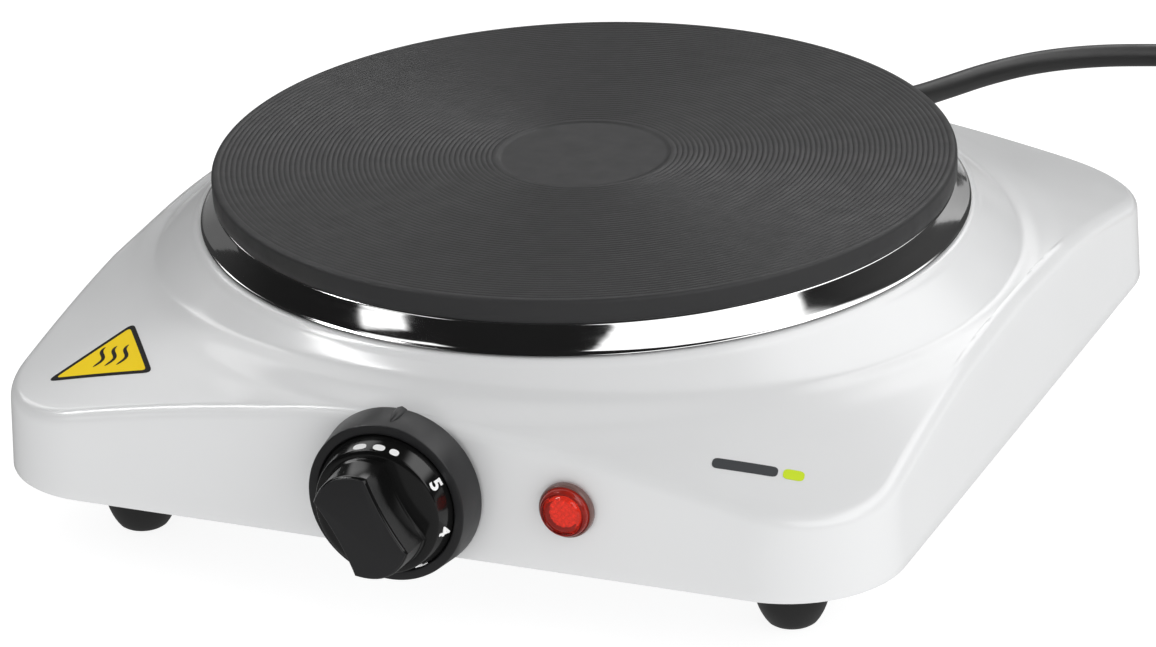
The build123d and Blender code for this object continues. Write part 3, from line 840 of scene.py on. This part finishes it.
cord_boot = mesh_object("cord_boot", *boot_mesh(), 40)
ride(cord_boot, "burner", ["strain_relief"], "lead_black")


def plug_outline(y):
    """Half width and half height of the plug's body, y millimetres ahead of its neck."""
    stations = [(0, 4.6, 4.6), (6, 5.4, 5.2), (10, 8.0, 6.4), (13, 10.8, 7.5), (17, 12.6, 8.2),
                (21, 13.0, 8.5), (30, 12.9, 8.5), (36, 12.7, 8.3), (37.4, 12.3, 7.9), (38, 11.4, 7.0)]
    for (a, wa, ha), (b, wb, hb) in zip(stations, stations[1:]):
        if a <= y <= b:
            t = (y - a) / (b - a)
            return wa + (wb - wa) * t, ha + (hb - ha) * t
    return stations[-1][1:]


def plug_mesh():
    """Flat moulded plug body with rounded sides and finger ridges."""
    verts, rows = [], []
    count = 64
    places = [0, 0.4, 1.5, 2.5, 3.5, 4.5, 6, 8, 10, 11.5, 13, 15, 17, 19, 21]
    places += [22 + 0.5 * k for k in range(25)] + [35, 36, 36.8, 37.4, 37.8, 38]
    ridge_start, ridge_end, ridge_pitch, ridge_depth = 22, 34, 2.0, 0.28
    for y in places:
        w, h = plug_outline(y)
        dip = 0.0
        if ridge_start <= y <= ridge_end:
            dip = ridge_depth * (0.5 - 0.5 * math.cos((y - ridge_start) / ridge_pitch * FULL_TURN))
        rows.append(range(len(verts), len(verts) + count))
        squareness = 2.0 + 2.2 * ramp(y, 4, 18)
        for k in range(count):
            a = FULL_TURN * k / count
            ca, sa = math.cos(a), math.sin(a)
            px = signed_power(ca, 2 / squareness) * (w - dip * abs(ca))
            pz = signed_power(sa, 2 / squareness) * (h - 0.1)
            verts.append((PLUG_X + px, PLUG_Y - y, PLUG_Z + pz))
    return verts, lofted(rows)


plug_shell = mesh_object("plug_shell", *plug_mesh(), 50)
ride(plug_shell, "burner", ["plug_body"], "lead_black")


def tie_mesh():
    """Flat strip wound round the coil's turns where they leave for the plug."""
    angle = math.radians(-62)
    inner_r, outer_r = 27.2, 44.3
    corner, half, thick = 2.6, 3.0, 0.5
    near, far = inner_r + corner, outer_r - corner
    low, high = corner + 0.3, 11.2
    steps = 5
    path = []
    for cr, rise, a0 in ((far, high, 0), (near, high, 90), (near, low, 180), (far, low, 270)):
        for k in range(steps + 1):
            a = math.radians(a0 + 90 * k / steps)
            path.append((cr, FLOOR_Z + rise, math.cos(a), math.sin(a)))
    verts, rows = [], []
    for side, bend in ((-half, corner - thick), (-half, corner), (half, corner), (half, corner - thick)):
        rows.append(range(len(verts), len(verts) + len(path)))
        for cr, cz, ca, sa in path:
            r = cr + bend * ca
            x = COIL_X + r * math.cos(angle) - side * math.sin(angle)
            y = COIL_Y + r * math.sin(angle) + side * math.cos(angle)
            verts.append((x, y, cz + bend * sa))
    return verts, lofted(rows + rows[:1], capped=False)


cord_tie = mesh_object("cord_tie", *tie_mesh(), 40)
ride(cord_tie, "burner", [], "lead_black")

ride(power_lead, "burner", ["power_cord", "power_cord_coil", "power_cord_tail"], "lead_black")


# ---------------------------------------------------------------- printed marks on the top
def top_point(x, y):
    """Height of the pressed top, and the direction it faces."""
    step = 0.4
    gx = (top_height(x + step, y) - top_height(x - step, y)) / (2 * step)
    gy = (top_height(x, y + step) - top_height(x, y - step)) / (2 * step)
    return top_height(x, y), Vector((-gx, -gy, 1)).normalized()


def film_on_top(place, flat_mesh, low, high):
    """Thin film on the pressed top, at (x, y, turn); flat points are (right, up) from there."""
    x0, y0, turn_deg = place
    flat, flat_faces = flat_mesh
    turn = math.radians(turn_deg)
    _, middle_normal = top_point(x0, y0)
    right = Vector((math.cos(turn), math.sin(turn), 0))
    right = (right - middle_normal * right.dot(middle_normal)).normalized()
    up = middle_normal.cross(right)
    verts = []
    for lift in (low, high):
        for a, b in flat:
            across = right * a + up * b
            x, y = x0 + across.x, y0 + across.y
            z, normal = top_point(x, y)
            verts.append((x + normal.x * lift, y + normal.y * lift, z + normal.z * lift))
    return verts, film_faces(flat_faces, len(flat))


def rounded_loop(corners, radius, steps=6, spacing=1.2):
    """Closed loop of points with rounded corners and evenly divided sides."""
    loop = []
    count = len(corners)
    for i in range(count):
        p = Vector(corners[i])
        a = (Vector(corners[i - 1]) - p).normalized()
        b = (Vector(corners[(i + 1) % count]) - p).normalized()
        start, end = p + a * radius, p + b * radius
        for k in range(steps + 1):
            t = k / steps
            loop.append(start * (1 - t) ** 2 + p * 2 * t * (1 - t) + end * t * t)
        reach = (Vector(corners[(i + 1) % count]) - b * radius) - end
        pieces = max(int(reach.length / spacing), 1)
        loop += [end + reach * (k / pieces) for k in range(1, pieces)]
    return [(p.x, p.y) for p in loop]


def filled(loop, rings=5):
    """Rings of quads from a loop towards its middle, so that a film can follow a curved surface."""
    cx = sum(p[0] for p in loop) / len(loop)
    cy = sum(p[1] for p in loop) / len(loop)
    points, rows = [], []
    count = len(loop)
    for k in range(rings):
        t = 1 - k / rings
        rows.append(range(k * count, (k + 1) * count))
        points += [(cx + (x - cx) * t, cy + (y - cy) * t) for x, y in loop]
    points.append((cx, cy))
    faces = lofted(rows, capped=False)
    inmost = rows[-1]
    for i in range(count):
        faces.append([inmost[i], inmost[(i + 1) % count], len(points) - 1])
    return points, faces


def stroke(path, width):
    """Band of quads along a path, with rounded ends drawn as tapering points."""
    points, faces = [], []
    for i, (x, y) in enumerate(path):
        x0, y0 = path[max(i - 1, 0)]
        x1, y1 = path[min(i + 1, len(path) - 1)]
        d = Vector((x1 - x0, y1 - y0)).normalized()
        t = i / (len(path) - 1)
        half = width / 2 * math.sqrt(max(1 - (2 * t - 1) ** 4, 0.04))
        points += [(x - d.y * half, y + d.x * half), (x + d.y * half, y - d.x * half)]
    for i in range(len(path) - 1):
        faces.append([2 * i, 2 * i + 1, 2 * i + 3, 2 * i + 2])
    return points, faces


LABEL_PLACE = (-86.3, -92.5, 3.5)       # x, y and turn in degrees
LABEL_CORNERS = [(-15.6, -7.4), (14.4, -7.6), (-0.3, 14.6)]


def label_border_mesh():
    return film_on_top(LABEL_PLACE, filled(rounded_loop(LABEL_CORNERS, 2.6)), 0.02, 0.1)


def label_field_mesh():
    """Field inside the border, the border's shape drawn in towards its middle."""
    cx = sum(p[0] for p in LABEL_CORNERS) / 3
    cy = sum(p[1] for p in LABEL_CORNERS) / 3
    share = 0.85
    inside = [(cx + (x - cx) * share, cy + (y - cy) * share) for x, y in LABEL_CORNERS]
    return film_on_top(LABEL_PLACE, filled(rounded_loop(inside, 1.4)), 0.11, 0.14)


def label_waves_mesh():
    """Three wavy strokes side by side."""
    left, spacing, bottom, height = -3.5, 3.3, -3.4, 8.2
    sway, steps = 0.95, 14
    waves = []
    for k in range(3):
        path = []
        for i in range(steps + 1):
            t = i / steps
            across = left + spacing * k + sway * math.sin(FULL_TURN * (t - 0.1))
            path.append((across, bottom + height * t))
        waves.append(film_on_top(LABEL_PLACE, stroke(path, 1.0), 0.15, 0.17))
    return merge(*waves)


label_border = mesh_object("label_border", *label_border_mesh(), 60)
label_field = mesh_object("label_field", *label_field_mesh(), 60)
label_waves = mesh_object("label_waves", *label_waves_mesh(), 60)
ride(label_border, "burner", ["caution_label"], "print_dark")
ride(label_field, "burner", [], "label_yellow")
ride(label_waves, "burner", [], "print_dark")


def badge_mesh(x0, x1):
    """Plain bar with rounded ends, between two places along the badge."""
    place, half = (84.3, -100.4, 12.0), 1.7
    corners = [(x0, -half), (x1, -half), (x1, half), (x0, half)]
    return film_on_top(place, filled(rounded_loop(corners, half * 0.85, spacing=0.8)), 0.02, 0.1)


badge_bar = mesh_object("badge_bar", *badge_mesh(-10.8, 4.6), 60)
badge_dot = mesh_object("badge_dot", *badge_mesh(5.8, 10.8), 60)
ride(badge_bar, "burner", ["badge"], "print_dark")
ride(badge_dot, "burner", [], "print_dark")


# ---------------------------------------------------------------- materials
class Graph:
    """Short names for making and joining the nodes of a material or a world."""

    def __init__(self, tree):
        self.tree = tree

    def node(self, kind, **values):
        made = self.tree.nodes.new(kind)
        for key, value in values.items():
            setattr(made, key, value)
        return made

    def feed(self, made, *inputs, **named):
        """Set or link a node's inputs, in their order or by name with _ for a space."""
        pairs = list(zip(made.inputs, inputs))
        pairs += [(made.inputs[key.replace("_", " ")], value) for key, value in named.items()]
        for socket, value in pairs:
            if isinstance(value, bpy.types.NodeSocket):
                self.tree.links.new(value, socket)
            else:
                socket.default_value = value
        return made

    def math(self, operation, *inputs):
        return self.feed(self.node("ShaderNodeMath", operation=operation), *inputs).outputs[0]

    def dot(self, source, vector):
        made = self.node("ShaderNodeVectorMath", operation="DOT_PRODUCT")
        return self.feed(made, source, vector).outputs["Value"]

    def ease(self, value, low, high, to_low=0.0, to_high=1.0):
        made = self.node("ShaderNodeMapRange", interpolation_type="SMOOTHSTEP")
        return self.feed(made, value, low, high, to_low, to_high).outputs[0]

    def glow(self, strength, kind="ShaderNodeBackground"):
        return self.feed(self.node(kind), (1, 1, 1, 1), strength).outputs[0]

    def choose(self, factor, first, second):
        return self.feed(self.node("ShaderNodeMixShader"), factor, first, second).outputs[0]

    def rays(self, name):
        return self.node("ShaderNodeLightPath").outputs[name]


MATERIALS = {}


class Shader(Graph):
    """Material in MATERIALS, with noise for its colour, roughness and relief."""

    def __init__(self, name, color, roughness, metallic=0.0, **constants):
        self.material = bpy.data.materials.new(name)
        self.material.use_nodes = True
        super().__init__(self.material.node_tree)
        MATERIALS[name] = self.material
        self.shader = self.tree.nodes["Principled BSDF"]
        self.color = color
        self.set(Base_Color=(*color, 1), Roughness=roughness, Metallic=metallic, **constants)
        self.coords = self.node("ShaderNodeTexCoord").outputs["Object"]

    def set(self, **inputs):
        self.feed(self.shader, **inputs)

    def noise(self, scale, detail=4.0, stretch=None):
        source = self.coords
        if stretch:
            mapping = self.node("ShaderNodeMapping")
            source = self.feed(mapping, Vector=source, Scale=stretch).outputs["Vector"]
        made = self.node("ShaderNodeTexNoise")
        return self.feed(made, Vector=source, Scale=scale, Detail=detail, Roughness=0.6).outputs["Fac"]

    def tint(self, factor, low, high):
        """Base colour between low and high times the material's own colour."""
        dark = (*[c * low for c in self.color], 1)
        light = (*[min(c * high, 1) for c in self.color], 1)
        made = self.feed(self.node("ShaderNodeMix", data_type="RGBA"), Factor=factor, A=dark, B=light)
        self.set(Base_Color=made.outputs["Result"])

    def rough(self, factor, low, high):
        """Roughness from low to high over the middle of a noise's range."""
        made = self.node("ShaderNodeMapRange")
        self.feed(made, Value=factor, From_Min=0.3, From_Max=0.7, To_Min=low, To_Max=high)
        self.set(Roughness=made.outputs["Result"])

    def bump(self, factor, distance, strength):
        made = self.node("ShaderNodeBump")
        self.feed(made, Height=factor, Distance=distance, Strength=strength)
        self.set(Normal=made.outputs["Normal"])


def painted():
    """Satin white-grey powder paint with a faint orange peel."""
    s = Shader("satin_paint", (0.74, 0.745, 0.75), 0.34, Coat_Weight=0.7, Coat_Roughness=0.12)
    s.tint(s.noise(22, 3), 0.985, 1.01)
    s.rough(s.noise(90, 3), 0.30, 0.38)
    s.bump(s.noise(520, 2), 0.00002, 0.25)


def cast():
    """Black heat-proof coating on a turned cast face."""
    s = Shader("cast_plate", (0.031, 0.031, 0.032), 0.46, Specular_IOR_Level=0.32)
    s.tint(s.noise(35, 6), 0.9, 1.12)
    s.rough(s.noise(160, 4), 0.44, 0.56)
    s.bump(s.noise(1900, 3), 0.00003, 0.35)


def bright():
    """Polished steel with faint rolling marks."""
    s = Shader("bright_ring", (0.78, 0.78, 0.78), 0.07, 1.0)
    s.tint(s.noise(40, 3), 0.94, 1.0)
    s.rough(s.noise(60, 3, stretch=(1, 1, 9)), 0.05, 0.1)
    s.bump(s.noise(55, 3, stretch=(1, 1, 4)), 0.0002, 0.12)


def plastic(name, color, roughness, grain, coat=0.0):
    """Moulded plastic, rubber or glass, with a grain of its own."""
    s = Shader(name, color, roughness, Coat_Weight=coat, Coat_Roughness=0.08)
    s.tint(s.noise(50, 4), 0.93, 1.06)
    s.rough(s.noise(140, 3), roughness * 0.88, roughness * 1.12)
    s.bump(s.noise(grain, 2), 0.00002, 0.3)


def metal(name, color, roughness):
    """Plain metal with faint handling marks."""
    s = Shader(name, color, roughness, 1.0)
    s.tint(s.noise(70, 5), 0.85, 1.0)
    s.rough(s.noise(120, 4), roughness * 0.8, roughness * 1.25)
    s.bump(s.noise(300, 3), 0.00004, 0.3)


def printed(name, color, roughness):
    """Flat ink or film."""
    s = Shader(name, color, roughness, Specular_IOR_Level=0.08)
    s.tint(s.noise(120, 3), 0.96, 1.03)
    s.rough(s.noise(200, 2), roughness * 0.9, roughness * 1.1)


def red_lens():
    """Clear red moulding, tinted through its depth."""
    s = Shader("lens_red", (0.75, 0.045, 0.035), 0.04, Transmission_Weight=0.97, IOR=1.49)
    s.tint(s.noise(200, 2), 0.96, 1.02)
    s.bump(s.noise(240, 2), 0.00005, 0.2)


def red_core():
    """Orange-red button under the lens, with a weak glow."""
    glow = (1.0, 0.28, 0.18, 1)
    s = Shader("lens_core", (0.95, 0.3, 0.2), 0.3, Emission_Strength=0.42, Emission_Color=glow)
    s.tint(s.noise(900, 2), 0.8, 1.1)


def porous(name, color, roughness, scale):
    """Ceramic, cement or woven sleeving."""
    s = Shader(name, color, roughness)
    s.tint(s.noise(scale, 6), 0.82, 1.1)
    s.rough(s.noise(scale * 2, 4), roughness * 0.9, min(roughness * 1.1, 1.0))
    s.bump(s.noise(scale * 4, 5), 0.0001, 0.5)


painted()
metal("zinc_sheet", (0.62, 0.64, 0.66), 0.35)
metal("screw_steel", (0.55, 0.55, 0.56), 0.3)
plastic("foot_rubber", (0.012, 0.012, 0.012), 0.48, 900)
cast()
porous("cement", (0.55, 0.53, 0.48), 0.9, 60)
bright()
porous("ceramic_white", (0.78, 0.76, 0.7), 0.5, 40)
metal("contact_brass", (0.75, 0.55, 0.25), 0.28)
plastic("knob_black", (0.012, 0.012, 0.013), 0.4, 700)
printed("print_white", (0.86, 0.86, 0.86), 0.45)
plastic("plastic_white", (0.75, 0.74, 0.7), 0.4, 500)
red_lens()
plastic("bulb_glass", (0.8, 0.5, 0.35), 0.1, 300, 0.5)
plastic("lead_black", (0.018, 0.018, 0.018), 0.42, 800)
porous("wire_sleeve", (0.6, 0.58, 0.52), 0.7, 200)
plastic("earth_sleeve", (0.25, 0.5, 0.1), 0.45, 400)
printed("label_yellow", (1.0, 0.70, 0.008), 0.4)
printed("print_dark", (0.012, 0.011, 0.011), 0.4)
red_core()
plastic("knob_gloss", (0.005, 0.005, 0.005), 0.13, 300)
plastic("lens_flange", (0.16, 0.085, 0.075), 0.2, 300)
printed("print_lime", (0.58, 0.74, 0.03), 0.4)
printed("print_grey", (0.055, 0.058, 0.062), 0.4)

# pieces whose look is not their slot's
OWN_LOOK = {
    "lens_core": "lens_core", "lens_flange": "lens_flange", "knob_drum": "knob_gloss",
    "knob_grip": "knob_gloss", "badge_dot": "print_lime", "badge_bar": "print_grey",
}
slot_of = {row["node"]: row["material_slot"] for row in frame["record"]["subparts"]}
for made in list(bpy.context.scene.objects):
    look = OWN_LOOK.get(made.name) or made.get("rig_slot") or slot_of.get(made.name)
    if made.type in ("MESH", "CURVE") and look:
        made.data.materials.clear()
        made.data.materials.append(MATERIALS[look])


# ---------------------------------------------------------------- floor, world and lights
def make_floor():
    """Pale ground; polished parts see it dimmer on the left than on the right."""
    mesh = bpy.data.meshes.new("floor")
    reach = 6.0
    corners = [(x * reach, y * reach, 0) for x, y in ((-1, -1), (1, -1), (1, 1), (-1, 1))]
    mesh.from_pydata(corners, [], [(0, 1, 2, 3)])
    floor = bpy.data.objects.new("floor", mesh)
    bpy.context.scene.collection.objects.link(floor)
    s = Shader("floor_pale", (0.32, 0.32, 0.32), 0.9, Specular_IOR_Level=0.0)
    s.set(Emission_Color=(1, 1, 1, 1), Emission_Strength=0.88)
    side = s.dot(s.coords, (1, 0, 0))
    mirrored = s.glow(s.ease(side, -0.5, 0.5, 0.14, 0.5), "ShaderNodeEmission")
    surface = s.choose(s.rays("Is Glossy Ray"), s.shader.outputs[0], mirrored)
    s.feed(s.tree.nodes["Material Output"], surface)
    floor.data.materials.append(s.material)


make_floor()

# Light patches that polished and painted parts mirror:
# (azimuth from the front towards +X, elevation, half width, half height, softness, level)
PATCHES = [
    (61.0, 36.0, 27.5, 18.0, 3.0, 1.7),
    (-42.0, 22.0, 7.0, 5.0, 3.0, 1.7),
    (-42.0, 42.0, 11.0, 5.0, 4.0, 1.6),
    (-76.0, 50.0, 4.0, 10.0, 5.0, 14.0),
    (-117.0, 34.0, 6.0, 12.0, 5.0, 2.8),
    (-136.0, 42.0, 12.0, 12.0, 12.0, 1.5),
    (120.0, 47.0, 30.0, 15.0, 12.0, 2.3),
    (-176.0, 36.0, 14.0, 12.0, 10.0, 3.0),
]
SOFT_LEVEL = 1.02               # the shading light's middle level, and its slope along x, y and z
SOFT_SLOPE = (0.36, 0.36, -0.26)


def make_world():
    """White to the camera, a soft slope of light for the shading, and a dim studio in reflections."""
    world = bpy.data.worlds.new("world")
    bpy.context.scene.world = world
    world.use_nodes = True
    tree = world.node_tree
    tree.nodes.remove(tree.nodes["Background"])
    g = Graph(tree)
    toward = g.node("ShaderNodeTexCoord").outputs["Generated"]
    total = g.ease(g.dot(toward, (0, 1, 0)), -0.2, 0.9, 0.012, 0.06)
    for azimuth, elevation, half_width, half_height, softness, level in PATCHES:
        ahead = direction(azimuth, elevation)
        right = ahead.cross(Vector((0, 0, 1))).normalized()
        depth = g.dot(toward, ahead)
        shares = []
        for axis, half in ((right, half_width), (right.cross(ahead), half_height)):
            offset = g.math("ABSOLUTE", g.math("DIVIDE", g.dot(toward, axis), depth))
            outer = math.tan(math.radians(half + softness / 2))
            inner = math.tan(math.radians(half - softness / 2))
            shares.append(g.ease(offset, inner, outer, 1.0, 0.0))
        shown = g.math("MULTIPLY", g.math("MULTIPLY", *shares), g.math("GREATER_THAN", depth, 0.0))
        total = g.math("MAXIMUM", total, g.math("MULTIPLY", shown, level))
    soft = g.math("ADD", g.dot(toward, SOFT_SLOPE), SOFT_LEVEL)
    seen = g.choose(g.rays("Is Glossy Ray"), g.glow(soft), g.glow(total))
    seen = g.choose(g.rays("Is Camera Ray"), seen, g.glow(1.0))
    g.feed(tree.nodes["World Output"], seen)


make_world()


def soft_box(name, azimuth_deg, elevation_deg, distance, width, height, level):
    """Area light of an even level that looks at the burner and is not itself mirrored."""
    data = bpy.data.lights.new(name, "AREA")
    data.shape = "RECTANGLE"
    data.size, data.size_y = width, height
    data.energy = level * math.pi * width * height
    light = bpy.data.objects.new(name, data)
    toward = direction(azimuth_deg, elevation_deg)
    light.location = put(0, 0, 50) + toward * distance
    light.rotation_euler = toward.to_track_quat("Z", "Y").to_euler()
    light.visible_glossy = False
    bpy.context.scene.collection.objects.link(light)


soft_box("key", 72, 26, 1.6, 1.2, 0.8, 1.3)
soft_box("fill", -10, 7, 1.6, 1.0, 0.36, 1.7)

bpy.context.scene.view_settings.view_transform = "Standard"

bpy.context.view_layer.update()
